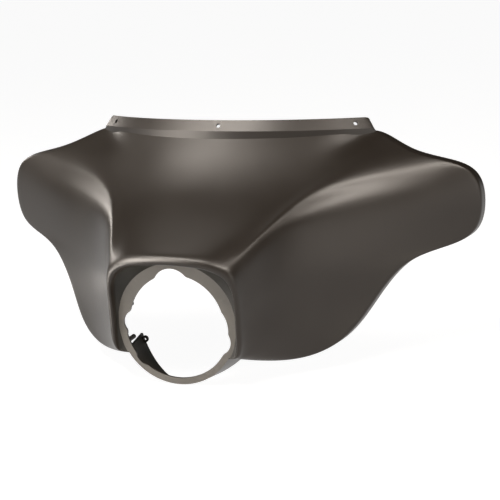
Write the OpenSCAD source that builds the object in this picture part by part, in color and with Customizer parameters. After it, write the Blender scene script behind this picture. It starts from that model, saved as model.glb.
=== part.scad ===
// Outer shell of a fork-mounted motorcycle fairing, moulded in one piece.
// The origin is the centre of the headlamp seat's front face. The nose points to -Y,
// +X is the right side seen from the front, and +Z is up. All lengths are in millimetres.

/* [Shell] */
// Width over the wing tips
shell_w = 908; // [820:1:1000]
// Height of the windscreen ledge above the lamp centre
ledge_rise = 274; // [258:1:290]
// Distance of the windscreen ledge behind the lamp seat
ledge_back = 229; // [212:1:245]
// Distance of the wing tips behind the lamp seat
tip_back = 309; // [290:1:330]
// Depth of the skirts below the lamp centre
skirt_drop = 80; // [72:1:95]
// Wall thickness of the moulding
wall = 3.5; // [2.5:0.1:4.5]
// Width of the return that stiffens the rim
return_w = 20; // [14:1:28]
// Size of the round where the skin turns into its return
fold = 9; // [7:0.5:12]

/* [Headlamp nacelle] */
// Outer diameter of the flat ring that carries the headlamp
seat_d = 208; // [196:1:216]
// Thickness of that ring
seat_t = 4; // [3:0.5:6]
// Width of the ring around the upper part of the opening
ring_w = 20; // [16:0.5:26]
// Width of the ring around the lower part of the opening
ring_low_w = 11; // [9:0.5:14]
// Depth below the lamp centre at which the opening widens
eye_step = 22; // [10:1:40]
// Round between the scallops of the opening
eye_fillet = 9; // [4:0.5:12]
// How far the brow stands ahead of the lamp seat
brow_lead = 41; // [34:1:50]
// Gap between the ring's edge and the sides of the arch
arch_gap = 3; // [2:0.5:6]
// Height of the brow over the top of the ring
brow_gap = 5; // [3:0.5:9]
// Height of the rolled brow over the lamp
brow_face = 16; // [10:0.5:18]
// Width of the lip's front face at the sides of the lamp
lip_face = 10; // [7:0.5:11]
// Draft angle of the chin wall under the lamp
chin_draft = 8; // [2:0.5:9]
// Depth of the chin wall for each millimetre to the side
chin_flare = 0.87; // [0.6:0.01:1]
// Height of the chin wall's upper edge below the lamp centre
chin_top = 48; // [44:1:52]

/* [Windscreen flange] */
// Radius of the flange in plan
screen_r = 401; // [380:1:440]
// Width of the flange along its lower edge
flange_w = 522; // [480:1:540]
// Width lost at each end by the slant
flange_slant = 15; // [5:1:25]
// Height of the leaning part, measured up the slope
flange_h = 22; // [19:0.5:28]
// Lean of the flange from upright
flange_lean = 32; // [20:1:45]
// Fall of the flange from its middle to its ends, in degrees
flange_fall = 3.6; // [0:0.1:6]
// Thickness of the flange
flange_t = 4; // [3:0.5:6]
// Height of the riser below the flange
riser_h = 12; // [9:0.5:18]
// Round at the flange's upper corners
flange_round = 8; // [2:0.5:10]
// Diameter of the windscreen screw holes
screen_hole_d = 8; // [5:0.5:9]
// Distance of the outer holes in from the flange's ends, across the shell
screen_hole_in = 31; // [29:1:60]
// Distance of the holes below the flange's upper edge
screen_hole_drop = 11; // [7:0.5:12]

/* [Fixings] */
// Diameter of the posts behind the ring that hold the headlamp bucket
post_d = 8; // [7:0.5:10]
// Length of those posts
post_l = 20; // [12:1:26]
// Diameter of the pilot holes in the posts
post_pilot_d = 3.4; // [2.5:0.1:4.2]
// Distance of the posts in from the ring's outer edge, across the shell
post_in = 14.5; // [12:0.5:16]
// Height between the upper and the lower posts
post_rise = 58; // [45:1:64]
// Height of the middle between them below the lamp centre
post_drop = 4; // [0:1:8]
// Thickness of the screw tabs on the rim and of the lugs on the chin wall
tab_t = 4; // [3:0.5:6]
// Radius of the round end of a tab
tab_r = 10; // [8:0.5:13]
// Diameter of the screw hole in a tab
tab_hole_d = 6.4; // [4:0.1:8]
// Reach of a tab's hole inward from the rim
tab_reach = 14; // [11:0.5:20]
// Radius of the round end of a chin lug
lug_r = 6; // [5:0.5:8]
// Diameter of the screw hole in a chin lug
lug_hole_d = 5; // [3:0.1:6.5]

/* [Hidden] */
$fn = 64;

// Half sizes and slopes that several features share
half_w = shell_w / 2;
seat_r = seat_d / 2;
flange_half = flange_w / 2;
draft = tan(chin_draft);

// Master form of the right half, one row for each guide that runs from the lamp to the rim.
// The first six guides rise over the brow to the windscreen, the seventh is the crease that
// runs out to the wing, and the rest fan down the cheek to the skirt.
// Lip of the arch around the lamp
LIP = [
    [0, -41, 109], [26, -41, 108], [49, -39, 106], [67, -36, 103], [80, -33, 98],
    [90, -30, 92], [98, -27, 84], [103, -24, 74], [106, -22, 64], [107, -20, 52],
    [107, -18, 38], [107, -17, 22], [107, -16, 6], [107, -15, -10], [107, -14, -26],
    [107, -12, -40], [105, -7, -52]
];
// Rim of the shell
RIM = [
    [0, 229, 274], [88, 239, 274], [168, 267, 274], [228, 301, 275], [264, 337, 277],
    [328, 282, 242], [408, 297, 228], [444, 308, 205], [454, 309, 158], [445, 308, 95],
    [387, 270, 80], [330, 226, 66], [287, 193, 4], [252, 152, -55], [197, 104, -80],
    [138, 62, -76], [108, 30, -62]
];
// Skin between the two, six points on each guide
SKIN = [
    [[0, -10, 130], [0, 55, 153], [0, 105, 175], [0, 150, 202], [0, 188, 234], [0, 212, 257]],
    [[29, -11, 130], [41, 55, 152], [52, 106, 174], [64, 152, 201], [74, 191, 232], [82, 219, 257]],
    [[56, -12, 128], [73, 55, 150], [91, 107, 171], [110, 157, 197], [131, 204, 227], [150, 241, 256]],
    [[78, -14, 124], [95, 49, 145], [115, 102, 166], [139, 156, 190], [168, 210, 218], [199, 263, 250]],
    [[92, -14, 118], [109, 40, 139], [130, 94, 161], [157, 150, 186], [194, 205, 213], [234, 262, 246]],
    [[103, -13, 112], [118, 31, 132], [139, 86, 156], [168, 144, 183], [210, 190, 207], [268, 238, 226]],
    [[110, -12, 104], [122, 22, 127], [142, 80, 154], [177, 150, 180], [230, 204, 200], [322, 256, 208]],
    [[115, -8, 87], [126, 15, 110], [147, 72, 140], [188, 141, 165], [256, 205, 182], [352, 258, 184]],
    [[117, -6, 71], [128, 16, 88], [150, 70, 110], [195, 135, 130], [266, 200, 150], [362, 258, 158]],
    [[118, -5, 55], [129, 18, 66], [152, 66, 80], [198, 128, 98], [266, 190, 110], [356, 252, 112]],
    [[118, -4, 39], [130, 20, 47], [153, 62, 55], [192, 114, 66], [248, 168, 74], [318, 222, 78]],
    [[118, -4, 23], [129, 22, 26], [150, 58, 30], [184, 102, 38], [228, 148, 48], [280, 190, 58]],
    [[118, -3, 6], [128, 20, 5], [147, 52, 4], [174, 88, 4], [208, 126, 4], [248, 162, 4]],
    [[118, -2, -11], [127, 17, -14], [144, 42, -20], [166, 72, -28], [192, 102, -37], [222, 130, -47]],
    [[117, -2, -26], [124, 14, -32], [136, 32, -40], [151, 54, -50], [167, 74, -61], [182, 91, -72]],
    [[115, -2, -40], [117, 6, -45], [121, 15, -51], [125, 25, -57], [129, 35, -63], [133, 45, -68]],
    [[109, -2, -54], [109, 2, -57], [109, 6, -58], [108, 10, -59], [108, 14, -60], [108, 18, -61]]
];
guides = len(LIP);
inner_points = len(SKIN[0]);
// Guides from the middle that end on the windscreen flange, the last one at its corner
flange_guides = 5;
// Guide where the arch's round corner passes into its side
corner_guide = 7;
// Guide that ends on the wing tip
tip_guide = 8;

// Extreme values of the master form, which the driving sizes stretch
function top_of(list, k) = max([for (p = list) p[k]]);
function low_of(list, k) = min([for (p = list) p[k]]);
lip_x = (seat_r + arch_gap) / top_of(LIP, 0);
lip_y = brow_lead / -low_of(LIP, 1);
lip_z = (seat_r + brow_gap) / top_of(LIP, 2);
rim_x = half_w / top_of(RIM, 0);
rim_y = tip_back / RIM[tip_guide].y;
rim_up = ledge_rise / RIM[0].z;
rim_down = skirt_drop / -low_of(RIM, 2);

// Distance back to an arc about the flange's centre at a given x. The control points lie
// outside the arc that the skin's edge then follows inside the riser.
function arc_y(x, r) = ledge_back + screen_r - sqrt(r * r - x * x);
swell = 2.5;
corner_back = 15;
corner_out = 3;
flange_x = (flange_half + corner_out) / RIM[flange_guides - 1].x;

// Lip and rim at the driving sizes
function lip(i) = [LIP[i].x * lip_x, LIP[i].y * lip_y, LIP[i].z * lip_z];
function rim(i) = i < flange_guides ?
    let (x = RIM[i].x * flange_x, corner = i == flange_guides - 1)
        [x, arc_y(x, screen_r + (corner ? 0 : swell)) + (corner ? corner_back : 0), RIM[i].z * rim_up] :
    [RIM[i].x * rim_x, RIM[i].y * rim_y, RIM[i].z * (RIM[i].z > 0 ? rim_up : rim_down)];

// Skin point moved along with the lip and the rim
function skin(i, j) = let (s = (j + 1) / (inner_points + 1))
    SKIN[i][j] + (1 - s) * (lip(i) - LIP[i]) + s * (rim(i) - RIM[i]);

function unit(v) = v / norm(v);

// How the skin leaves the rim: straight on into the riser under the flange, and back into a
// return elsewhere
function turn(i, t) =
    i < flange_guides - 1 ? [t / 2, t] :
    i < flange_guides ? [[1, 4, 1], [2, return_w / 2, 1]] :
    [[1, fold, 0], [3, return_w, 0]];

// Width of the lip's face along the arch: the brow's height over the top, narrower down the
// sides, and closing to nothing at the lip's lower end
function face(i) = let (
        w = i < corner_guide ? brow_face : i > corner_guide ? lip_face : (brow_face + lip_face) / 2)
    w * min(1, (guides - i) / 3);

// Direction in which the lip's face is laid, square to the arch and away from the lamp
function lip_normal(i) = let (
        d = i == 0 ? [1, 0, 0] : lip(min(i + 1, guides - 1)) - lip(i - 1))
    unit([-d.z, 0, d.x]);

// Angle of a guide round the lamp, and the radius at which its first control point stands so
// that the surface itself starts on the ring's edge
function guide_q(i) = i < 0 ? -guide_q(-i) : atan2(lip(min(i, guides - 1)).x, lip(min(i, guides - 1)).z);
function seat_cage_r(i) = 3 * seat_r / (2 + cos((guide_q(i + 1) - guide_q(i - 1)) / 2));

// Control points of one guide, from the lamp ring over the lip and the skin to the return
function cage_row(i) = let (
        a = lip(i), e = rim(i), q = guide_q(i), r = seat_cage_r(i),
        seat = [r * sin(q), seat_t / 8, r * cos(q)],
        throat = [a.x, min(a.y + 1.5 * fold, 0.3 * a.y), a.z],
        last = skin(i, inner_points - 1), t = unit(e - last), out = turn(i, t))
    concat([seat, (seat + throat) / 2, throat, a, a + face(i) * lip_normal(i) + [0, 3, 0]],
        [for (j = [0:inner_points - 1]) skin(i, j)],
        [e - fold * t, e, e + out[0], e + out[1]]);

// Last row of the cage, where the skirt folds under and meets the chin wall
close_z = -chin_top - 7;
close_y = [0.5, 0.9, 1.4, 2, 3, 6, 10, 14, 18, 21, 25, 28, 31, 36, 42];
function chin_r(y) = seat_r + draft * y;
close_row = [for (y = close_y) let (r = chin_r(y) - wall / 2) [sqrt(r * r - close_z * close_z), y, close_z]];

cage = concat([for (i = [0:guides - 1]) cage_row(i)], [close_row]);

// Uniform cubic B-spline through a row of control points, held at its ends
function weight(t) = [pow(1 - t, 3), 3 * t * t * t - 6 * t * t + 4, 1 + 3 * (t + t * t - t * t * t), t * t * t] / 6;
function flip(p) = [-p.x, p.y, p.z];
function mix(w, a, b, c, d) = w[0] * a + w[1] * b + w[2] * c + w[3] * d;
function held(p) = concat([2 * p[0] - p[1]], p, [2 * p[len(p) - 1] - p[len(p) - 2]]);
function spline(p, s) = let (i = min(floor(s), len(p) - 4), w = weight(s - i))
    mix(w, p[i], p[i + 1], p[i + 2], p[i + 3]);

// Steps taken in each span of the cage, closer where the skin turns sharply
along = [for (k = [0:guides - 1]) k > guides - 3 || (k > 3 && k < 11) ? 3 : 2];
across = [1, 1, 3, 3, 2, 2, 2, 2, 2, 2, 2, 3, 3, 1];
function steps(n) = concat([for (k = [0:len(n) - 1]) for (m = [0:n[k] - 1]) k + m / n[k]], [len(n)]);
us = steps(along);
vs = steps(across);

// Control points of the inner face: the outer ones moved into the shell by the wall, less in
// the last row, where the skirt closes to the chin wall and its points crowd together
last = len(cage[0]) - 1;
function inward(i, j) = let (
        a = i == 0 ? flip(cage[1][j]) : cage[i - 1][j], b = cage[min(i + 1, guides)][j],
        c = cage[i][max(j - 1, 0)], d = cage[i][min(j + 1, last)])
    unit(cross(d - c, b - a));
function gap_at(i, j) = min(norm(cage[i][max(j, 1)] - cage[i][max(j, 1) - 1]),
                            norm(cage[i][min(j, last - 1) + 1] - cage[i][min(j, last - 1)]));
moved_in = [for (i = [0:guides]) [for (j = [0:last])
    cage[i][j] + (i < guides ? wall : min(wall, 0.6 * gap_at(i, j))) * inward(i, j)]];

// The lower end of the lip is solid, so there the inner face runs straight from ring to cheek
lip_end = 5;
inner_cage = [for (i = [0:guides]) [for (j = [0:last]) i > guides - 2 && j < lip_end ?
    moved_in[i][0] + (moved_in[i][lip_end] - moved_in[i][0]) * j / lip_end : moved_in[i][j]]];

// Grid of points on the face that a cage describes, mirrored across the middle
function columns(c) = [for (j = [0:last]) let (k = [for (row = c) row[j]])
    concat([flip(k[1])], k, [2 * k[guides] - k[guides - 1]])];
function cut_row(cols, u) = held([for (k = cols) spline(k, u)]);
function half_grid(c) = let (k = columns(c)) [for (u = us) let (row = cut_row(k, u)) [for (v = vs) spline(row, v)]];
function both(half) = concat([for (k = [len(half) - 1:-1:1]) [for (p = half[k]) flip(p)]], half);
function at(u, v) = spline(cut_row(columns(cage), u), v);
grid = both(half_grid(cage));
backs = both(half_grid(inner_cage));
rows = len(grid);
cols = len(vs);

// Closed sheet between the outer face and its offset
function index(i, j, side) = side * rows * cols + i * cols + j;
function quad(a, b, c, d) = [[a, c, b], [a, d, c]];
sheet_points = [for (side = [grid, backs]) for (row = side) for (p = row) p];
sheet_faces = concat(
    [for (i = [0:rows - 2], j = [0:cols - 2])
        each quad(index(i, j, 0), index(i + 1, j, 0), index(i + 1, j + 1, 0), index(i, j + 1, 0))],
    [for (i = [0:rows - 2], j = [0:cols - 2])
        each quad(index(i, j, 1), index(i, j + 1, 1), index(i + 1, j + 1, 1), index(i + 1, j, 1))],
    [for (i = [0:rows - 2])
        each quad(index(i, 0, 0), index(i, 0, 1), index(i + 1, 0, 1), index(i + 1, 0, 0))],
    [for (i = [0:rows - 2])
        each quad(index(i, cols - 1, 0), index(i + 1, cols - 1, 0),
                  index(i + 1, cols - 1, 1), index(i, cols - 1, 1))],
    [for (j = [0:cols - 2])
        each quad(index(0, j, 0), index(0, j + 1, 0), index(0, j + 1, 1), index(0, j, 1))],
    [for (j = [0:cols - 2])
        each quad(index(rows - 1, j, 0), index(rows - 1, j, 1),
                  index(rows - 1, j + 1, 1), index(rows - 1, j + 1, 0))]);

module skin_sheet() {
    polyhedron(points = sheet_points, faces = sheet_faces, convexity = 10);
}

// Stands a flat outline upright, so that its y becomes z and its thickness runs along +Y
module upright(y, t) {
    translate([0, y + t, 0]) rotate([90, 0, 0]) linear_extrude(t) children();
}

// Opening of the lamp ring: two radii, with scallops for the lamp's adjusters
// Each scallop has its angle from the top, the width of ring it leaves and its own radius
SCALLOPS = [[-6, 9.3, 34], [-91, 9, 20], [-134, 7, 23], [98, 13, 50], [110, 5.5, 23]];
module eye() {
    offset(r = -eye_fillet) offset(delta = eye_fillet) {
        circle(seat_r - ring_w);
        intersection() {
            circle(seat_r - ring_low_w);
            translate([-seat_r, -2 * seat_r - eye_step]) square(2 * seat_r);
        }
        for (s = SCALLOPS) rotate(-s[0]) translate([0, seat_r - s[1] - s[2]]) circle(s[2]);
    }
}

// Flat ring that carries the headlamp: its edge lies inside the wall of the arch's throat
// above and inside the chin wall below
module lamp_ring() {
    upright(0, seat_t) {
        circle(seat_r - wall / 2, $fn = 128);
        intersection() {
            circle(seat_r + wall / 2, $fn = 128);
            translate([-2 * seat_r, -chin_top - wall]) square([4 * seat_r, 3 * seat_r]);
        }
    }
}

// Chin wall: a drafted collar under the lamp, cut back to a V for the steering head
chin_l = chin_flare * seat_r;
module chin() {
    intersection() {
        rotate([-90, 0, 0]) difference() {
            cylinder(h = chin_l, r1 = seat_r, r2 = chin_r(chin_l), $fn = 128);
            translate([0, 0, -1])
                cylinder(h = chin_l + 2, r1 = chin_r(-1) - wall, r2 = chin_r(chin_l + 1) - wall, $fn = 128);
        }
        translate([0, 0, -2 * seat_r]) linear_extrude(2 * seat_r - chin_top)
            polygon([[-2 * seat_r, 2 * seat_r * chin_flare], [-2 * seat_r, -1], [2 * seat_r, -1],
                     [2 * seat_r, 2 * seat_r * chin_flare], [0, seat_t / 2]]);
    }
}

// The windscreen's seat as a whole falls a little from the middle to its ends
riser_z = ledge_rise + riser_h;
module tilted() {
    translate([0, ledge_back, riser_z]) rotate([-flange_fall, 0, 0])
        translate([0, -ledge_back, -riser_z]) children();
}

// Places its children in the flange's own frame at an angle from the middle:
// the origin is where riser and flange meet, y runs up the slope and z points forward
module on_flange(a) {
    tilted() translate([0, ledge_back + screen_r, riser_z]) rotate([0, 0, a])
        translate([0, -screen_r, 0]) rotate([90 - flange_lean, 0, 0]) children();
}

// Section of the flange: a riser that starts inside the skin, and the leaning part
flange_top = flange_h * cos(flange_lean);
riser_foot = ledge_rise - 2 * wall;
module flange_section() {
    back = flange_t / cos(flange_lean);
    run = flange_h * sin(flange_lean);
    polygon([
        [screen_r, riser_foot], [screen_r, riser_z],
        [screen_r - run, riser_z + flange_top],
        [screen_r - run - flange_t * cos(flange_lean), riser_z + flange_top - flange_t * sin(flange_lean)],
        [screen_r - back, riser_z - flange_t * 0.3], [screen_r - back, riser_foot]
    ]);
}

module flange() {
    a = asin(min(1, (flange_half + 10) / screen_r));
    tilted() intersection() {
        translate([0, ledge_back + screen_r, 0]) rotate([0, 0, -90 - a])
            rotate_extrude(angle = 2 * a, $fn = 180) flange_section();
        upright(0, 2 * screen_r) offset(r = flange_round) offset(delta = -flange_round) polygon([
            [-flange_half - 8, riser_z - 2 * riser_h], [flange_half + 8, riser_z - 2 * riser_h],
            [flange_half, riser_z - riser_h / 2],
            [flange_half - flange_slant, riser_z + flange_top],
            [flange_slant - flange_half, riser_z + flange_top],
            [-flange_half, riser_z - riser_h / 2]
        ]);
    }
}

hole_up = flange_h - screen_hole_drop;
hole_a = asin((flange_half - screen_hole_in) / (screen_r - hole_up * sin(flange_lean)));
module screen_holes() {
    for (a = [-hole_a, 0, hole_a]) on_flange(a) translate([0, hole_up, -3 * flange_t])
        cylinder(h = 6 * flange_t, d = screen_hole_d);
}

// Posts behind the lamp ring, two on the left and one on the right, where a scallop of the
// opening takes the place of the fourth
POSTS = [[-1, 1], [-1, -1], [1, 1]];
module at_posts() {
    for (p = POSTS)
        translate([p.x * (seat_r - post_in), 0, p.y * post_rise / 2 - post_drop])
            rotate([-90, 0, 0]) children();
}
module posts() {
    at_posts() translate([0, 0, seat_t / 2]) cylinder(h = post_l + seat_t / 2, d = post_d);
}
module post_pilots() {
    at_posts() translate([0, 0, seat_t]) cylinder(h = post_l + 1, d = post_pilot_d);
}

// Screw tabs on the return, each placed by how far round the rim it sits
TAB_AT = [5.8, 9.7, 12.6];
function tab_spot(u) = at(u, len(across));
function tab_turn(u) = let (d = tab_spot(u + 0.1) - tab_spot(u - 0.1)) atan2(d.z, d.x);
module tabs() {
    for (s = [0, 1]) mirror([s, 0, 0]) for (u = TAB_AT)
        let (p = tab_spot(u), q = tab_turn(u))
            translate([p.x, p.y, p.z]) rotate([90, 0, 0]) rotate(q) linear_extrude(tab_t) {
                translate([0, -tab_reach]) circle(tab_r);
                translate([-tab_r, -tab_reach]) square([2 * tab_r, tab_reach - wall / 2]);
            }
}
module tab_holes() {
    for (s = [0, 1]) mirror([s, 0, 0]) for (u = TAB_AT)
        let (p = tab_spot(u), q = tab_turn(u))
            translate([p.x, p.y + 1, p.z]) rotate([90, 0, 0]) rotate(q)
                translate([0, -tab_reach]) cylinder(h = tab_t + 2, d = tab_hole_d);
}

// Lugs inside the rear upper corners of the chin wall, drilled from the back: each is a round
// end on a foot that runs out into the wall
lug_z = -chin_top - lug_r;
lug_out = chin_r(chin_l) - wall - lug_r;
lug_x = sqrt(pow(lug_out, 2) - pow(lug_z, 2));
lug_y = chin_flare * lug_x - lug_r;
module at_lugs() {
    for (s = [0, 1]) mirror([s, 0, 0]) translate([lug_x, lug_y, lug_z])
        rotate([-90, 0, 0]) rotate(atan2(-lug_z, lug_x)) children();
}
module lugs() {
    at_lugs() linear_extrude(tab_t) {
        circle(lug_r);
        translate([0, -lug_r]) square([lug_r, 2 * lug_r]);
    }
}

module outer_shell() {
    color([0.28, 0.25, 0.23]) {
        skin_sheet();
        union() {
            difference() {
                flange();
                screen_holes();
            }
            difference() {
                union() {
                    lamp_ring();
                    chin();
                    posts();
                    lugs();
                }
                upright(-1, seat_t + 2) eye();
                post_pilots();
                at_lugs() translate([0, 0, -1]) cylinder(h = tab_t + 2, d = lug_hole_d);
            }
            difference() {
                tabs();
                tab_holes();
            }
        }
    }
}

outer_shell();
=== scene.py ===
import math
import bpy
import bmesh
import numpy as np
from mathutils import Matrix, Vector


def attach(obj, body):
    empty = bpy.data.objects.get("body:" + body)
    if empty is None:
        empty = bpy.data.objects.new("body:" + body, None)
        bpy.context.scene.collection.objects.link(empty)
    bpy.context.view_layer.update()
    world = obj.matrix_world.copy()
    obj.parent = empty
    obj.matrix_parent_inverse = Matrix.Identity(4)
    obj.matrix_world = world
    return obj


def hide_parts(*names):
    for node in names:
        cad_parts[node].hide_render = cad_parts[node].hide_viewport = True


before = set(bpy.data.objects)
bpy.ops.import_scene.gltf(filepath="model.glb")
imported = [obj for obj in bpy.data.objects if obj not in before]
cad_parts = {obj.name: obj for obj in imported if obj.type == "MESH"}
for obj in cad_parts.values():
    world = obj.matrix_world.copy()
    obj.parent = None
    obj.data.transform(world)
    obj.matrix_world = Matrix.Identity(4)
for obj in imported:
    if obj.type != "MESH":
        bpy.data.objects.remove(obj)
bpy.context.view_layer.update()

# The solid's one piece is rebuilt here with a finer skin, from the same sizes and the same cage,
# and gets its materials, a floor, lights and a camera.
# Sizes in millimetres, the same as in the part's source
SHELL_W, LEDGE_RISE, LEDGE_BACK, TIP_BACK, SKIRT_DROP = 908.0, 274.0, 229.0, 309.0, 80.0
WALL, RETURN_W, FOLD = 3.5, 20.0, 9.0
SEAT_D, SEAT_T, RING_W, RING_LOW_W, EYE_STEP, EYE_FILLET = 208.0, 4.0, 20.0, 11.0, 22.0, 9.0
BROW_LEAD, ARCH_GAP, BROW_GAP, BROW_FACE, LIP_FACE = 41.0, 3.0, 5.0, 16.0, 10.0
CHIN_DRAFT, CHIN_FLARE, CHIN_TOP = 8.0, 0.87, 48.0
SCREEN_R, FLANGE_W, FLANGE_SLANT, FLANGE_H = 401.0, 522.0, 15.0, 22.0
FLANGE_LEAN, FLANGE_FALL, FLANGE_T, RISER_H, FLANGE_ROUND = 32.0, 3.6, 4.0, 12.0, 8.0
SCREEN_HOLE_D, SCREEN_HOLE_IN, SCREEN_HOLE_DROP = 8.0, 31.0, 11.0
POST_D, POST_L, POST_PILOT_D, POST_IN, POST_RISE, POST_DROP = 8.0, 20.0, 3.4, 14.5, 58.0, 4.0
TAB_T, TAB_R, TAB_HOLE_D, TAB_REACH, LUG_R, LUG_HOLE_D = 4.0, 10.0, 6.4, 14.0, 6.0, 5.0

SEAT_R = SEAT_D / 2
FLANGE_HALF = FLANGE_W / 2
DRAFT = math.tan(math.radians(CHIN_DRAFT))
CHIN_L = CHIN_FLARE * SEAT_R
RISER_Z = LEDGE_RISE + RISER_H
LEAN = math.radians(FLANGE_LEAN)

# Metres in a millimetre, and the material slots
MM = 0.001
# The bare slot is also the painted shade of the lamp's throat
PAINT, BARE_AND_SHADE, DULL = 0, 1, 2

# Master form of the right half, as in the part's source: the lip of the arch, the rim, and the
# skin between them, with one row for each guide that runs from the lamp to the rim
LIP = np.array([
    (0, -41, 109), (26, -41, 108), (49, -39, 106), (67, -36, 103), (80, -33, 98),
    (90, -30, 92), (98, -27, 84), (103, -24, 74), (106, -22, 64), (107, -20, 52),
    (107, -18, 38), (107, -17, 22), (107, -16, 6), (107, -15, -10), (107, -14, -26),
    (107, -12, -40), (105, -7, -52)], float)
RIM = np.array([
    (0, 229, 274), (88, 239, 274), (168, 267, 274), (228, 301, 275), (264, 337, 277),
    (328, 282, 242), (408, 297, 228), (444, 308, 205), (454, 309, 158), (445, 308, 95),
    (387, 270, 80), (330, 226, 66), (287, 193, 4), (252, 152, -55), (197, 104, -80),
    (138, 62, -76), (108, 30, -62)], float)
SKIN = np.array([
    [(0, -10, 130), (0, 55, 153), (0, 105, 175), (0, 150, 202), (0, 188, 234), (0, 212, 257)],
    [(29, -11, 130), (41, 55, 152), (52, 106, 174), (64, 152, 201), (74, 191, 232), (82, 219, 257)],
    [(56, -12, 128), (73, 55, 150), (91, 107, 171), (110, 157, 197), (131, 204, 227), (150, 241, 256)],
    [(78, -14, 124), (95, 49, 145), (115, 102, 166), (139, 156, 190), (168, 210, 218), (199, 263, 250)],
    [(92, -14, 118), (109, 40, 139), (130, 94, 161), (157, 150, 186), (194, 205, 213), (234, 262, 246)],
    [(103, -13, 112), (118, 31, 132), (139, 86, 156), (168, 144, 183), (210, 190, 207), (268, 238, 226)],
    [(110, -12, 104), (122, 22, 127), (142, 80, 154), (177, 150, 180), (230, 204, 200), (322, 256, 208)],
    [(115, -8, 87), (126, 15, 110), (147, 72, 140), (188, 141, 165), (256, 205, 182), (352, 258, 184)],
    [(117, -6, 71), (128, 16, 88), (150, 70, 110), (195, 135, 130), (266, 200, 150), (362, 258, 158)],
    [(118, -5, 55), (129, 18, 66), (152, 66, 80), (198, 128, 98), (266, 190, 110), (356, 252, 112)],
    [(118, -4, 39), (130, 20, 47), (153, 62, 55), (192, 114, 66), (248, 168, 74), (318, 222, 78)],
    [(118, -4, 23), (129, 22, 26), (150, 58, 30), (184, 102, 38), (228, 148, 48), (280, 190, 58)],
    [(118, -3, 6), (128, 20, 5), (147, 52, 4), (174, 88, 4), (208, 126, 4), (248, 162, 4)],
    [(118, -2, -11), (127, 17, -14), (144, 42, -20), (166, 72, -28), (192, 102, -37), (222, 130, -47)],
    [(117, -2, -26), (124, 14, -32), (136, 32, -40), (151, 54, -50), (167, 74, -61), (182, 91, -72)],
    [(115, -2, -40), (117, 6, -45), (121, 15, -51), (125, 25, -57), (129, 35, -63), (133, 45, -68)],
    [(109, -2, -54), (109, 2, -57), (109, 6, -58), (108, 10, -59), (108, 14, -60), (108, 18, -61)]], float)
GUIDES = len(LIP)
INNER = SKIN.shape[1]
FLANGE_GUIDES, CORNER_GUIDE, TIP_GUIDE = 5, 7, 8
SWELL, CORNER_BACK, CORNER_OUT = 2.5, 15.0, 3.0
# Where the skin starts on the ring's edge, where the throat begins behind the lip (in folds, or
# as a share of the lip's lead), and how far the lip's face falls back
SEAT_START, THROAT_FOLDS, THROAT_SHARE, FACE_BACK = SEAT_T / 8, 1.5, 0.3, 3
# Column of the cage at which the solid end of the lip stops
LIP_END = 5
# Last row of the cage, where the skirt folds under and meets the chin wall, and the share of the
# span between its points that the wall may take there
CLOSE_Z = -CHIN_TOP - 7
CLOSE_Y = [0.5, 0.9, 1.4, 2, 3, 6, 10, 14, 18, 21, 25, 28, 31, 36, 42]
CLOSE_SHARE = 0.6
# Steps taken in each span of the cage, round the lamp and from the lamp to the rim
ALONG = [7] * 4 + [9] * 7 + [7] * 3 + [8] * 3
ACROSS = [3, 3, 7, 8, 6, 5, 5, 5, 5, 5, 5, 7, 7, 3]
# Place across at which the throat, which takes the dark bare moulding as painted shade in the recess behind
# the lip, passes into the painted lip
SHADED_THROAT_END = 1.9
# Steps round a large circle, round a small one, round the opening and along the flange
LARGE_STEPS, SMALL_STEPS, EYE_STEPS, FLANGE_STEPS = 192, 48, 480, 140
MIRROR = np.array([-1.0, 1, 1])


def unit(v):
    v = np.asarray(v, float)
    return v / np.maximum(np.linalg.norm(v, axis=-1, keepdims=True), 1e-12)


def arc_y(x, r):
    return LEDGE_BACK + SCREEN_R - math.sqrt(r * r - x * x)


def chin_r(y):
    return SEAT_R + DRAFT * y


# Lip and rim at the driving sizes
LIPS = LIP * np.array([(SEAT_R + ARCH_GAP) / LIP[:, 0].max(), BROW_LEAD / -LIP[:, 1].min(),
                       (SEAT_R + BROW_GAP) / LIP[:, 2].max()])


def rim_point(i):
    x, y, z = RIM[i]
    up = LEDGE_RISE / RIM[0, 2]
    if i < FLANGE_GUIDES:
        corner = i == FLANGE_GUIDES - 1
        x = x * (FLANGE_HALF + CORNER_OUT) / RIM[FLANGE_GUIDES - 1, 0]
        back = arc_y(x, SCREEN_R) + CORNER_BACK if corner else arc_y(x, SCREEN_R + SWELL)
        return np.array([x, back, z * up])
    down = SKIRT_DROP / -RIM[:, 2].min()
    return np.array([x * SHELL_W / 2 / RIM[:, 0].max(), y * TIP_BACK / RIM[TIP_GUIDE, 1],
                     z * (up if z > 0 else down)])


RIMS = np.array([rim_point(i) for i in range(GUIDES)])


# Angle of a guide round the lamp
def guide_q(i):
    if i < 0:
        return -guide_q(-i)
    i = min(i, GUIDES - 1)
    return math.atan2(LIPS[i, 0], LIPS[i, 2])


# Width of the lip's face: the brow's over the top, narrower down the sides, closing at its end
def face(i):
    if i == CORNER_GUIDE:
        w = (BROW_FACE + LIP_FACE) / 2
    else:
        w = BROW_FACE if i < CORNER_GUIDE else LIP_FACE
    return w * min(1, (GUIDES - i) / 3)


# How the skin leaves the rim: into the riser under the flange, and into a return elsewhere
def rim_turn(i, t):
    if i < FLANGE_GUIDES - 1:
        return t / 2, t
    if i < FLANGE_GUIDES:
        return np.array([1, 4, 1.0]), np.array([2, RETURN_W / 2, 1])
    return np.array([1, FOLD, 0.0]), np.array([3, RETURN_W, 0.0])


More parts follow.
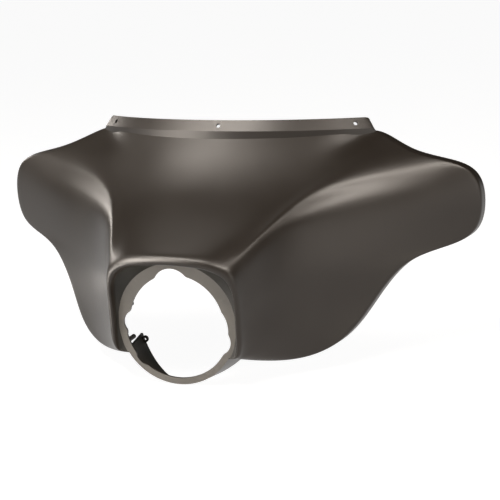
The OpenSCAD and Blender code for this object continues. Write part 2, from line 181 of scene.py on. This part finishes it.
# Control points of one guide, from the lamp ring over the lip and the skin to the return
def cage_row(i):
    a, e = LIPS[i], RIMS[i]
    q = guide_q(i)
    r = 3 * SEAT_R / (2 + math.cos((guide_q(i + 1) - guide_q(i - 1)) / 2))
    seat = np.array([r * math.sin(q), SEAT_START, r * math.cos(q)])
    throat = np.array([a[0], min(a[1] + THROAT_FOLDS * FOLD, THROAT_SHARE * a[1]), a[2]])
    s = (np.arange(INNER) + 1)[:, None] / (INNER + 1)
    skin = SKIN[i] + (1 - s) * (LIPS[i] - LIP[i]) + s * (e - RIM[i])
    t = unit(e - skin[-1])
    near, far = rim_turn(i, t)
    d = np.array([1.0, 0, 0]) if i == 0 else LIPS[min(i + 1, GUIDES - 1)] - LIPS[i - 1]
    n = unit(np.array([-d[2], 0, d[0]]))
    edge = a + face(i) * n + np.array([0, FACE_BACK, 0])
    return np.vstack([seat, (seat + throat) / 2, throat, a, edge, skin, e - FOLD * t, e, e + near, e + far])


close_row = np.array([(math.sqrt((chin_r(y) - WALL / 2) ** 2 - CLOSE_Z ** 2), y, CLOSE_Z) for y in CLOSE_Y])
CAGE = np.array([cage_row(i) for i in range(GUIDES)] + [close_row])


# Cage of the inner face: the outer points moved in by the wall, less in the last row
def inner_cage():
    last = CAGE.shape[1] - 1
    out = np.empty_like(CAGE)
    for i in range(GUIDES + 1):
        for j in range(last + 1):
            a = CAGE[1, j] * MIRROR if i == 0 else CAGE[i - 1, j]
            b = CAGE[min(i + 1, GUIDES), j]
            c, d = CAGE[i, max(j - 1, 0)], CAGE[i, min(j + 1, last)]
            gap = min(np.linalg.norm(CAGE[i, max(j, 1)] - CAGE[i, max(j, 1) - 1]),
                      np.linalg.norm(CAGE[i, min(j, last - 1) + 1] - CAGE[i, min(j, last - 1)]))
            by = WALL if i < GUIDES else min(WALL, CLOSE_SHARE * gap)
            out[i, j] = CAGE[i, j] + by * unit(np.cross(d - c, b - a))
    for i in (GUIDES - 1, GUIDES):
        for j in range(1, LIP_END):
            out[i, j] = out[i, 0] + (out[i, LIP_END] - out[i, 0]) * j / LIP_END
    return out


# Uniform cubic B-spline surface, held at its ends and mirrored across the middle
def weights(t):
    return np.array([(1 - t) ** 3, 3 * t ** 3 - 6 * t * t + 4, 1 + 3 * (t + t * t - t ** 3), t ** 3]) / 6


def spline(p, params):
    out = []
    for s in params:
        i = min(int(math.floor(s)), len(p) - 4)
        out.append(np.tensordot(weights(s - i), p[i:i + 4], axes=(0, 0)))
    return np.array(out)


def surface(us, vs, cage):
    g = spline(np.concatenate([(cage[1] * MIRROR)[None], cage, (2 * cage[-1] - cage[-2])[None]]), us)
    g = g.transpose(1, 0, 2)
    g = np.concatenate([(2 * g[0] - g[1])[None], g, (2 * g[-1] - g[-2])[None]])
    return spline(g, vs).transpose(1, 0, 2)


def steps(counts):
    out = []
    for k, n in enumerate(counts):
        out += [k + m / n for m in range(n)]
    return out + [len(counts)]


# Shader nodes
def math_node(tree, op, a, b):
    n = tree.nodes.new("ShaderNodeMath")
    n.operation = op
    tree.links.new(a, n.inputs[0])
    tree.links.new(b, n.inputs[1])
    return n.outputs[0]


def noise(tree, coords, scale, detail=2.0, rough=0.5):
    n = tree.nodes.new("ShaderNodeTexNoise")
    n.inputs["Scale"].default_value = scale
    n.inputs["Detail"].default_value = detail
    n.inputs["Roughness"].default_value = rough
    tree.links.new(coords, n.inputs["Vector"])
    return n.outputs["Fac"]


def ramp(tree, value, lo, hi, a, b):
    n = tree.nodes.new("ShaderNodeMapRange")
    for key, v in (("From Min", lo), ("From Max", hi), ("To Min", a), ("To Max", b)):
        n.inputs[key].default_value = v
    tree.links.new(value, n.inputs["Value"])
    return n.outputs["Result"]


def blend(tree, fac, c1, c2):
    n = tree.nodes.new("ShaderNodeMix")
    n.data_type = "RGBA"
    for socket, v in ((n.inputs[0], fac), (n.inputs[6], c1), (n.inputs[7], c2)):
        if isinstance(v, tuple):
            socket.default_value = (*v, 1)
        else:
            tree.links.new(v, socket)
    return n.outputs[2]


def bump(tree, height, strength, distance):
    n = tree.nodes.new("ShaderNodeBump")
    n.inputs["Strength"].default_value = strength
    n.inputs["Distance"].default_value = distance
    tree.links.new(height, n.inputs["Height"])
    return n.outputs["Normal"]


def new_material(name):
    m = bpy.data.materials.new(name)
    m.use_nodes = True
    t = m.node_tree
    return m, t, t.nodes["Principled BSDF"], t.nodes.new("ShaderNodeTexCoord").outputs["Object"]


# Satin brown paint: fine orange peel, faint clouding of colour and gloss, dust in the paint and
# thin wear where the edges are sharp
def painted():
    m, t, b, co = new_material("satin_brown_paint")
    cloud = noise(t, co, 6.0, 3.0)
    fine = noise(t, co, 420.0, 2.0, 0.6)
    base = blend(t, ramp(t, cloud, 0.35, 0.65, 0.0, 1.0), (0.031, 0.0233, 0.0172), (0.035, 0.0268, 0.0202))
    base = blend(t, ramp(t, noise(t, co, 1500.0, 1.0), 0.66, 0.74, 0.0, 0.25), base, (0.07, 0.062, 0.053))
    edge = t.nodes.new("ShaderNodeNewGeometry").outputs["Pointiness"]
    sharp = ramp(t, edge, 0.56, 0.64, 0.0, 1.0)
    worn = ramp(t, noise(t, co, 60.0, 4.0), 0.45, 0.65, 0.0, 0.35)
    base = blend(t, math_node(t, "MULTIPLY", sharp, worn), base, (0.085, 0.075, 0.065))
    t.links.new(base, b.inputs["Base Color"])
    gloss, peel = ramp(t, cloud, 0.3, 0.7, 0.33, 0.39), ramp(t, fine, 0.3, 0.7, -0.02, 0.02)
    t.links.new(math_node(t, "ADD", gloss, peel), b.inputs["Roughness"])
    b.inputs["IOR"].default_value = 1.5
    b.inputs["Specular IOR Level"].default_value = 0.32
    t.links.new(bump(t, fine, 0.22, 0.0004), b.inputs["Normal"])
    return m


# Dull plastic: clouds between two tones, marks of a third colour, and a grained surface
def dull_plastic(name, cloud_scale, tones, marks, mark_colour, rough, grain_scale, relief):
    m, t, b, co = new_material(name)
    cloud = noise(t, co, cloud_scale, 4.0)
    base = blend(t, ramp(t, cloud, 0.35, 0.65, 0.0, 1.0), *tones)
    scale, least, most, strength = marks
    base = blend(t, ramp(t, noise(t, co, scale, 5.0), least, most, 0.0, strength), base, mark_colour)
    t.links.new(base, b.inputs["Base Color"])
    t.links.new(ramp(t, cloud, 0.3, 0.7, *rough), b.inputs["Roughness"])
    b.inputs["Specular IOR Level"].default_value = 0.25
    t.links.new(bump(t, noise(t, co, grain_scale, 2.0, 0.6), *relief), b.inputs["Normal"])
    return m


# The bare moulding of the inner side has flow marks and dust; its dark tones also serve as painted shade in
# the lamp's throat. The lamp's seat is greyer, with the rub marks of a lamp ring.
MATERIALS = [
    painted(),
    dull_plastic("moulded_plastic_and_throat_shade", 9.0, ((0.020, 0.0175, 0.0135), (0.028, 0.025, 0.019)),
                 (26.0, 0.5, 0.75, 0.22), (0.075, 0.068, 0.056), (0.5, 0.62), 700.0, (0.3, 0.0005)),
    dull_plastic("dull_seat", 14.0, ((0.18, 0.163, 0.14), (0.225, 0.205, 0.178)),
                 (120.0, 0.58, 0.72, 0.3), (0.27, 0.25, 0.215), (0.55, 0.66), 900.0, (0.25, 0.0004))]


# Object from points in millimetres, its faces turned outward, with one slot for all or a list
def new_object(name, verts, faces, slots):
    mesh = bpy.data.meshes.new(name)
    mesh.from_pydata([tuple(float(c) * MM for c in v) for v in verts], [], faces)
    mesh.validate()
    if isinstance(slots, int):
        slots = [slots] * len(faces)
    mesh.polygons.foreach_set("material_index", np.asarray(slots, np.int32))
    for m in MATERIALS:
        mesh.materials.append(m)
    obj = bpy.data.objects.new(name, mesh)
    bpy.context.scene.collection.objects.link(obj)
    bm = bmesh.new()
    bm.from_mesh(mesh)
    bmesh.ops.recalc_face_normals(bm, faces=bm.faces)
    bm.to_mesh(mesh)
    bm.free()
    return obj


# Closed sheet between the outer face and its offset
def make_skin():
    us, vs = steps(ALONG), steps(ACROSS)
    half, behind = surface(us, vs, CAGE), surface(us, vs, inner_cage())
    grid = np.concatenate([half[:0:-1] * MIRROR, half])
    back = np.concatenate([behind[:0:-1] * MIRROR, behind])
    rows, cols = grid.shape[:2]
    verts = np.concatenate([grid.reshape(-1, 3), back.reshape(-1, 3)])
    n = rows * cols
    faces, slots = [], []
    for i in range(rows - 1):
        for j in range(cols - 1):
            a = i * cols + j
            faces.append((a, a + 1, a + cols + 1, a + cols))
            faces.append((n + a, n + a + cols, n + a + cols + 1, n + a + 1))
            # Outer faces of the throat take the dark bare moulding as painted shade in the recess; the rest
            # is paint
            slots += [BARE_AND_SHADE if vs[j] < SHADED_THROAT_END else PAINT, BARE_AND_SHADE]
    for i in range(rows - 1):
        a, b = i * cols, i * cols + cols - 1
        faces += [(a, a + cols, n + a + cols, n + a), (b, n + b, n + b + cols, b + cols)]
    for j in range(cols - 1):
        b = (rows - 1) * cols + j
        faces += [(j, n + j, n + j + 1, j + 1), (b, b + 1, n + b + 1, n + b)]
    slots += [PAINT] * (len(faces) - len(slots))
    return new_object("skin", verts, faces, slots)


# Outlines, extrusions and round solids
def circle(r):
    turns = [2 * math.pi * k / LARGE_STEPS for k in range(LARGE_STEPS)]
    return [(r * math.cos(q), r * math.sin(q)) for q in turns]


def prism_faces(n):
    sides = [(k, k + n, (k + 1) % n + n, (k + 1) % n) for k in range(n)]
    return [tuple(range(n)), tuple(range(2 * n - 1, n - 1, -1))] + sides


def prism(name, outline, y0, y1, slot=PAINT):
    verts = [(x, y, z) for y in (y0, y1) for x, z in outline]
    return new_object(name, verts, prism_faces(len(outline)), slot)


def rod(name, p0, p1, r0, r1=None, n=SMALL_STEPS, slot=BARE_AND_SHADE):
    p0, p1 = np.array(p0, float), np.array(p1, float)
    d = unit(p1 - p0)
    a = unit(np.cross(d, [0, 0, 1.0] if abs(d[2]) < 0.9 else [1.0, 0, 0]))
    b = np.cross(d, a)
    verts = []
    for p, r in ((p0, r0), (p1, r0 if r1 is None else r1)):
        for k in range(n):
            q = 2 * math.pi * k / n
            verts.append(p + r * (math.cos(q) * a + math.sin(q) * b))
    faces = [tuple(range(n - 1, -1, -1)), tuple(range(n, 2 * n))]
    faces += [(k, (k + 1) % n, (k + 1) % n + n, k + n) for k in range(n)]
    return new_object(name, verts, faces, slot)


def apply_modifiers(obj):
    old = obj.data
    dg = bpy.context.evaluated_depsgraph_get()
    mesh = bpy.data.meshes.new_from_object(obj.evaluated_get(dg))
    obj.modifiers.clear()
    obj.data = mesh
    bpy.data.meshes.remove(old)


def combine(obj, other, how):
    m = obj.modifiers.new("boolean", "BOOLEAN")
    m.operation = how
    m.object = other
    m.solver = "MANIFOLD"
    apply_modifiers(obj)
    spent = other.data
    bpy.data.objects.remove(other)
    bpy.data.meshes.remove(spent)


def bevel(obj, width, segments, angle):
    m = obj.modifiers.new("bevel", "BEVEL")
    m.width = width * MM
    m.segments = segments
    m.limit_method = "ANGLE"
    m.angle_limit = math.radians(angle)
    m.harden_normals = False
    apply_modifiers(obj)


# Scallops for the lamp's adjusters: angle from the top, width of ring left, own radius. Posts by
# side and level. Tabs by how far round the rim they sit.
SCALLOPS = [(-6, 9.3, 34), (-91, 9, 20), (-134, 7, 23), (98, 13, 50), (110, 5.5, 23)]
POSTS = [(-1, 1), (-1, -1), (1, 1)]
TAB_AT = [5.8, 9.7, 12.6]
# How far a cutting tool stands out past what it cuts
PAST = 1


# Opening of the lamp ring as radii about its centre: two radii and the scallops, and the
# corners between them rounded by a disc that rolls outside and back
def eye_outline():
    ang = np.arange(EYE_STEPS) * 2 * math.pi / EYE_STEPS
    d = np.stack([np.sin(ang), np.cos(ang)], 1)
    low, high = SEAT_R - RING_LOW_W, SEAT_R - RING_W
    r = np.where(d[:, 1] * low < -EYE_STEP, low, high)
    for a, ring, own in SCALLOPS:
        c = (SEAT_R - ring - own) * np.array([math.sin(math.radians(a)), math.cos(math.radians(a))])
        b = d @ c
        disc = b * b - (c @ c - own * own)
        r = np.maximum(r, np.where((disc > 0) & (b > 0), b + np.sqrt(np.maximum(disc, 0)), 0))
    for sign in (1, -1):
        c = d * r[:, None]
        new = r.copy()
        for k in range(EYE_STEPS):
            b = c @ d[k]
            disc = b * b - ((c * c).sum(1) - EYE_FILLET ** 2)
            ok = (disc > 0) & (b > 0)
            hits = b[ok] + sign * np.sqrt(disc[ok])
            new[k] = hits.max() if sign > 0 else hits.min()
        r = new
    return [tuple(p) for p in d * r[:, None]]


# Flat ring for the headlamp: its edge lies inside the throat's wall above and inside the chin
# wall below
def make_ring():
    ring = prism("ring", circle(SEAT_R - WALL / 2), 0, SEAT_T)
    upper = prism("ring_top", circle(SEAT_R + WALL / 2), 0, SEAT_T)
    edge, far = -CHIN_TOP - WALL, 300
    below = [(-far, -far), (far, -far), (far, edge), (-far, edge)]
    combine(upper, prism("cut", below, -PAST, SEAT_T + PAST), "DIFFERENCE")
    combine(ring, upper, "UNION")
    combine(ring, prism("eye", eye_outline(), -PAST, SEAT_T + PAST), "DIFFERENCE")
    return ring


# Chin wall: a drafted collar under the lamp, cut back to a V for the steering head
def make_chin():
    chin = rod("chin", (0, 0, 0), (0, CHIN_L, 0), SEAT_R, chin_r(CHIN_L), LARGE_STEPS, PAINT)
    front, rear = -PAST, CHIN_L + PAST
    inside = rod("chin_in", (0, front, 0), (0, rear, 0), chin_r(front) - WALL, chin_r(rear) - WALL,
                 LARGE_STEPS)
    combine(chin, inside, "DIFFERENCE")
    far = 2 * SEAT_R
    wedge = [(-far, far * CHIN_FLARE), (-far, front), (far, front), (far, far * CHIN_FLARE),
             (0, SEAT_T / 2)]
    verts = [(x, y, z) for z in (-far, -CHIN_TOP) for x, y in wedge]
    combine(chin, new_object("wedge", verts, prism_faces(len(wedge)), PAINT), "INTERSECT")
    return chin


# Posts behind the ring with their pilot holes, two on the left and one on the right
def add_posts(ring):
    for side, level in POSTS:
        x, z = side * (SEAT_R - POST_IN), level * POST_RISE / 2 - POST_DROP
        post = rod("post", (x, SEAT_T / 2, z), (x, SEAT_T + POST_L, z), POST_D / 2)
        combine(ring, post, "UNION")
        pilot = rod("pilot", (x, SEAT_T, z), (x, SEAT_T + POST_L + PAST, z), POST_PILOT_D / 2)
        combine(ring, pilot, "DIFFERENCE")


# Lugs inside the chin wall: a round end on a foot that runs out into the wall
def add_lugs(ring):
    lug_z = -CHIN_TOP - LUG_R
    lug_x = math.sqrt((chin_r(CHIN_L) - WALL - LUG_R) ** 2 - lug_z ** 2)
    lug_y = CHIN_FLARE * lug_x - LUG_R
    way = math.atan2(lug_z, lug_x)
    turns = np.linspace(math.pi / 2, 1.5 * math.pi, 25)
    round_end = [(LUG_R * math.cos(t), LUG_R * math.sin(t)) for t in turns]
    foot = [(LUG_R, -LUG_R), (LUG_R, LUG_R)]
    for side in (-1, 1):
        outline = [(side * (lug_x + x * math.cos(way) - z * math.sin(way)),
                    lug_z + x * math.sin(way) + z * math.cos(way)) for x, z in round_end + foot]
        combine(ring, prism("lug", outline, lug_y, lug_y + TAB_T, BARE_AND_SHADE), "UNION")
        x = side * lug_x
        hole = rod("lug_hole", (x, lug_y - PAST, lug_z), (x, lug_y + TAB_T + PAST, lug_z), LUG_HOLE_D / 2)
        combine(ring, hole, "DIFFERENCE")


# The windscreen's seat as a whole falls a little from the middle to its ends
def tilt(p):
    q = math.radians(-FLANGE_FALL)
    y, z = p[1] - LEDGE_BACK, p[2] - LEDGE_RISE - RISER_H
    return np.array([p[0], LEDGE_BACK + y * math.cos(q) - z * math.sin(q),
                     LEDGE_RISE + RISER_H + y * math.sin(q) + z * math.cos(q)])


# Outline with some of its corners rounded
def rounded(pts, corners, r, parts=8):
    out = []
    for k, p in enumerate(pts):
        if k not in corners:
            out.append(p)
            continue
        p, a, b = (np.array(pts[j % len(pts)]) for j in (k, k - 1, k + 1))
        u, w = unit(a - p), unit(b - p)
        half = math.acos(float(u @ w)) / 2
        t = r / math.tan(half)
        c = p + unit(u + w) * r / math.sin(half)
        first, last = p + u * t - c, p + w * t - c
        start = math.atan2(first[1], first[0])
        turn = (math.atan2(last[1], last[0]) - start + math.pi) % (2 * math.pi) - math.pi
        for s in range(parts + 1):
            q = start + turn * s / parts
            out.append(tuple(c + r * np.array([math.cos(q), math.sin(q)])))
    return out


# Of the flange: how far its sweep runs past its ends, how far its foot stands out, the heel behind
# the bend as a share of its thickness, the round on its edges, and the faces of its section that
# look back and stay bare
SWEEP_OVER, FOOT_OUT, HEEL, EDGE_ROUND, BACK_FACES = 10, 8, 0.3, 0.7, (3, 4)


# Sweep of the flange's section round its centre
def make_band():
    foot = LEDGE_RISE - 2 * WALL
    run, top = FLANGE_H * math.sin(LEAN), FLANGE_H * math.cos(LEAN)
    tx, tz = FLANGE_T * math.cos(LEAN), FLANGE_T * math.sin(LEAN)
    back = FLANGE_T / math.cos(LEAN)
    section = [(SCREEN_R, foot), (SCREEN_R, RISER_Z), (SCREEN_R - run, RISER_Z + top),
               (SCREEN_R - run - tx, RISER_Z + top - tz),
               (SCREEN_R - back, RISER_Z - HEEL * FLANGE_T), (SCREEN_R - back, foot)]
    n, m = FLANGE_STEPS, len(section)
    reach = math.asin((FLANGE_HALF + SWEEP_OVER) / SCREEN_R)
    verts = []
    for k in range(n + 1):
        a = reach * (2 * k / n - 1)
        verts += [(r * math.sin(a), LEDGE_BACK + SCREEN_R - r * math.cos(a), z) for r, z in section]
    faces = [tuple(range(m)), tuple(n * m + k for k in range(m - 1, -1, -1))]
    slots = [PAINT, PAINT]
    for k in range(n):
        for j in range(m):
            a, b = k * m + j, k * m + (j + 1) % m
            faces.append((a, a + m, b + m, b))
            slots.append(BARE_AND_SHADE if j in BACK_FACES else PAINT)
    return new_object("flange", verts, faces, slots)


def make_flange():
    band = make_band()
    top = RISER_Z + FLANGE_H * math.cos(LEAN)
    low, bend = RISER_Z - 2 * RISER_H, RISER_Z - RISER_H / 2
    pts = [(-FLANGE_HALF - FOOT_OUT, low), (FLANGE_HALF + FOOT_OUT, low), (FLANGE_HALF, bend),
           (FLANGE_HALF - FLANGE_SLANT, top), (FLANGE_SLANT - FLANGE_HALF, top), (-FLANGE_HALF, bend)]
    upper_corners = (3, 4)
    outline = rounded(pts, upper_corners, FLANGE_ROUND)
    combine(band, prism("trim", outline, 0, 2 * SCREEN_R), "INTERSECT")
    bevel(band, EDGE_ROUND, 2, 40)
    hole_up = FLANGE_H - SCREEN_HOLE_DROP
    r, z = SCREEN_R - hole_up * math.sin(LEAN), RISER_Z + hole_up * math.cos(LEAN)
    hole_a = math.asin((FLANGE_HALF - SCREEN_HOLE_IN) / r)
    reach = 3 * FLANGE_T
    for a in (-hole_a, 0, hole_a):
        c = np.array([r * math.sin(a), LEDGE_BACK + SCREEN_R - r * math.cos(a), z])
        # The flange's own outward direction
        n = np.array([math.cos(LEAN) * math.sin(a), -math.cos(LEAN) * math.cos(a), math.sin(LEAN)])
        combine(band, rod("screw_hole", c - reach * n, c + reach * n, SCREEN_HOLE_D / 2), "DIFFERENCE")
    for v in band.data.vertices:
        v.co = Vector([c * MM for c in tilt(np.array(v.co) * 1000)])
    return band


def rim_spot(u):
    return surface([u], [len(ACROSS)], CAGE)[0, 0]


# Screw tabs on the return
def make_tabs():
    tabs = []
    arc = [(-TAB_R * math.cos(t), -TAB_REACH - TAB_R * math.sin(t)) for t in np.linspace(0, math.pi, 33)]
    for u in TAB_AT:
        p, d = rim_spot(u), rim_spot(u + 0.1) - rim_spot(u - 0.1)
        q = math.atan2(d[2], d[0])
        hole_x, hole_z = p[0] + TAB_REACH * math.sin(q), p[2] - TAB_REACH * math.cos(q)
        for side in (1, -1):
            # Points in the tab's own plane: x along the rim, z inward
            outline = [(side * (p[0] + x * math.cos(q) - z * math.sin(q)),
                        p[2] + x * math.sin(q) + z * math.cos(q))
                       for x, z in [(-TAB_R, -WALL / 2)] + arc + [(TAB_R, -WALL / 2)]]
            tab = prism("tab", outline, p[1] - TAB_T, p[1], BARE_AND_SHADE)
            x, front, rear = side * hole_x, p[1] - TAB_T - PAST, p[1] + PAST
            hole = rod("tab_hole", (x, front, hole_z), (x, rear, hole_z), TAB_HOLE_D / 2)
            combine(tab, hole, "DIFFERENCE")
            tabs.append(tab)
    return tabs


# One moulding: the ring with its chin, posts and lugs, the flange and the tabs join the skin
shell = make_skin()
ring = make_ring()
combine(ring, make_chin(), "UNION")
add_posts(ring)
add_lugs(ring)
for extra in [make_flange(), ring] + make_tabs():
    combine(shell, extra, "UNION")
shell.name = "fairing_shell"
shell.data.name = "fairing_shell"

# Points nearer than this are one. Faces are smooth but for sharp edges, and the ring's flat front
# gets the dull finish: how far forward such a face looks, and how near the seat's plane it lies.
WELD, SHARP, FORWARD, NEAR_PLANE = 0.002 * MM, math.radians(17), 0.99, 0.4
bm = bmesh.new()
bm.from_mesh(shell.data)
bmesh.ops.remove_doubles(bm, verts=bm.verts, dist=WELD)
for f in bm.faces:
    f.smooth = True
    c = f.calc_center_median() / MM
    if f.normal.y < -FORWARD and abs(c.y) < NEAR_PLANE and math.hypot(c.x, c.z) < SEAT_R + WALL:
        f.material_index = DULL
for e in bm.edges:
    if len(e.link_faces) == 2 and e.calc_face_angle(0) > SHARP:
        e.smooth = False
bm.to_mesh(shell.data)
bm.free()

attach(shell, "root")
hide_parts("outer_shell")

# Pale floor that glows a little, just under the shell
scene = bpy.context.scene
scene.view_settings.view_transform = "Standard"
lo = min(v.co.z for v in shell.data.vertices)
bpy.ops.mesh.primitive_plane_add(size=70, location=(0, 0, lo - 0.5 * MM))
floor = bpy.context.object
floor.name = "floor"
fm = bpy.data.materials.new("floor")
fm.use_nodes = True
fb = fm.node_tree.nodes["Principled BSDF"]
fb.inputs["Base Color"].default_value = (0.3, 0.3, 0.3, 1)
fb.inputs["Roughness"].default_value = 0.9
fb.inputs["Specular IOR Level"].default_value = 0.1
fb.inputs["Emission Color"].default_value = (1, 1, 1, 1)
fb.inputs["Emission Strength"].default_value = 0.95
floor.data.materials.append(fm)

# Dim surroundings that fall off towards the top
world = bpy.data.worlds.new("studio")
scene.world = world
world.use_nodes = True
wt = world.node_tree
height = wt.nodes.new("ShaderNodeSeparateXYZ")
wt.links.new(wt.nodes.new("ShaderNodeTexCoord").outputs["Generated"], height.inputs[0])
dimming = ramp(wt, height.outputs["Z"], 0.0, 0.85, 0.36, 0.08)
wt.links.new(dimming, wt.nodes["Background"].inputs["Strength"])

LIGHT_COLOUR = (1.0, 0.93, 0.855)
PART_MIDDLE = Vector((0, 0.12, 0.1))


# Area light of a set brightness, turned to a point. One with sheen only shows in the gloss, as
# a bright card does, and adds no light of its own to the colour.
def area_light(name, at, to, size, size_y, radiance, sheen=True):
    data = bpy.data.lights.new(name, "AREA")
    data.shape = "RECTANGLE"
    data.size = size
    data.size_y = size_y
    data.energy = radiance * math.pi * size * size_y
    data.color = LIGHT_COLOUR
    light = bpy.data.objects.new(name, data)
    light.location = at
    light.rotation_euler = (Vector(to) - Vector(at)).to_track_quat("-Z", "Y").to_euler()
    light.visible_diffuse = not sheen
    light.visible_camera = False
    scene.collection.objects.link(light)


# Area light that stands in the direction given, square to the part
def softbox(name, azimuth, elevation, distance, size, size_y, radiance, sheen=True):
    az, el = math.radians(azimuth), math.radians(elevation)
    way = Vector((math.sin(az) * math.cos(el), -math.cos(az) * math.cos(el), math.sin(el)))
    area_light(name, PART_MIDDLE + distance * way, PART_MIDDLE, size, size_y, radiance, sheen)


softbox("front_overhead", -40, 65, 2.4, 2.2, 0.45, 13, sheen=False)
softbox("front_overhead_sheen", -34, 68, 2.35, 1.5, 0.35, 26)
softbox("right", 53, 44, 2.4, 1.5, 0.5, 28)
softbox("right_high", 88, 59, 2.4, 0.7, 0.35, 12)
softbox("right_fill", 68, 7, 2.4, 1.4, 0.7, 3, sheen=False)
softbox("front_left", -44, 26, 2.4, 1.3, 2.0, 30)
softbox("left", -112, 18, 2.4, 1.1, 0.25, 16)
softbox("rear", -155, 46, 2.4, 0.9, 0.7, 1.5)
area_light("left_card", (-0.50, 0.30, -0.05), (-0.11, -0.02, 0.07), 0.14, 0.04, 1.4)
area_light("front_left_card", (-0.50, -0.30, -0.09), (-0.11, -0.02, 0.05), 0.3, 0.2, 26)

# Camera at the photograph's viewing angle
FOCAL_PX, PICTURE_PX, SENSOR = 1400.12, 500, 36
yaw, pitch, roll = math.radians(19.796), math.radians(13.374), math.radians(-2.434)
ahead = Vector((-math.sin(yaw) * math.cos(pitch), math.cos(yaw) * math.cos(pitch), -math.sin(pitch)))
level = Vector((math.cos(yaw), math.sin(yaw), 0))
rise = level.cross(ahead)
x_axis = level * math.cos(roll) + rise * math.sin(roll)
y_axis = -level * math.sin(roll) + rise * math.cos(roll)
cam = bpy.data.objects.new("camera", bpy.data.cameras.new("camera"))
turned = Matrix((x_axis, y_axis, -ahead)).transposed().to_4x4()
cam.matrix_world = Matrix.Translation((0.871916, -2.0487, 0.649273)) @ turned
cam.data.sensor_width = SENSOR
cam.data.lens = FOCAL_PX / PICTURE_PX * SENSOR
cam.data.clip_end = 50
scene.collection.objects.link(cam)
scene.camera = cam
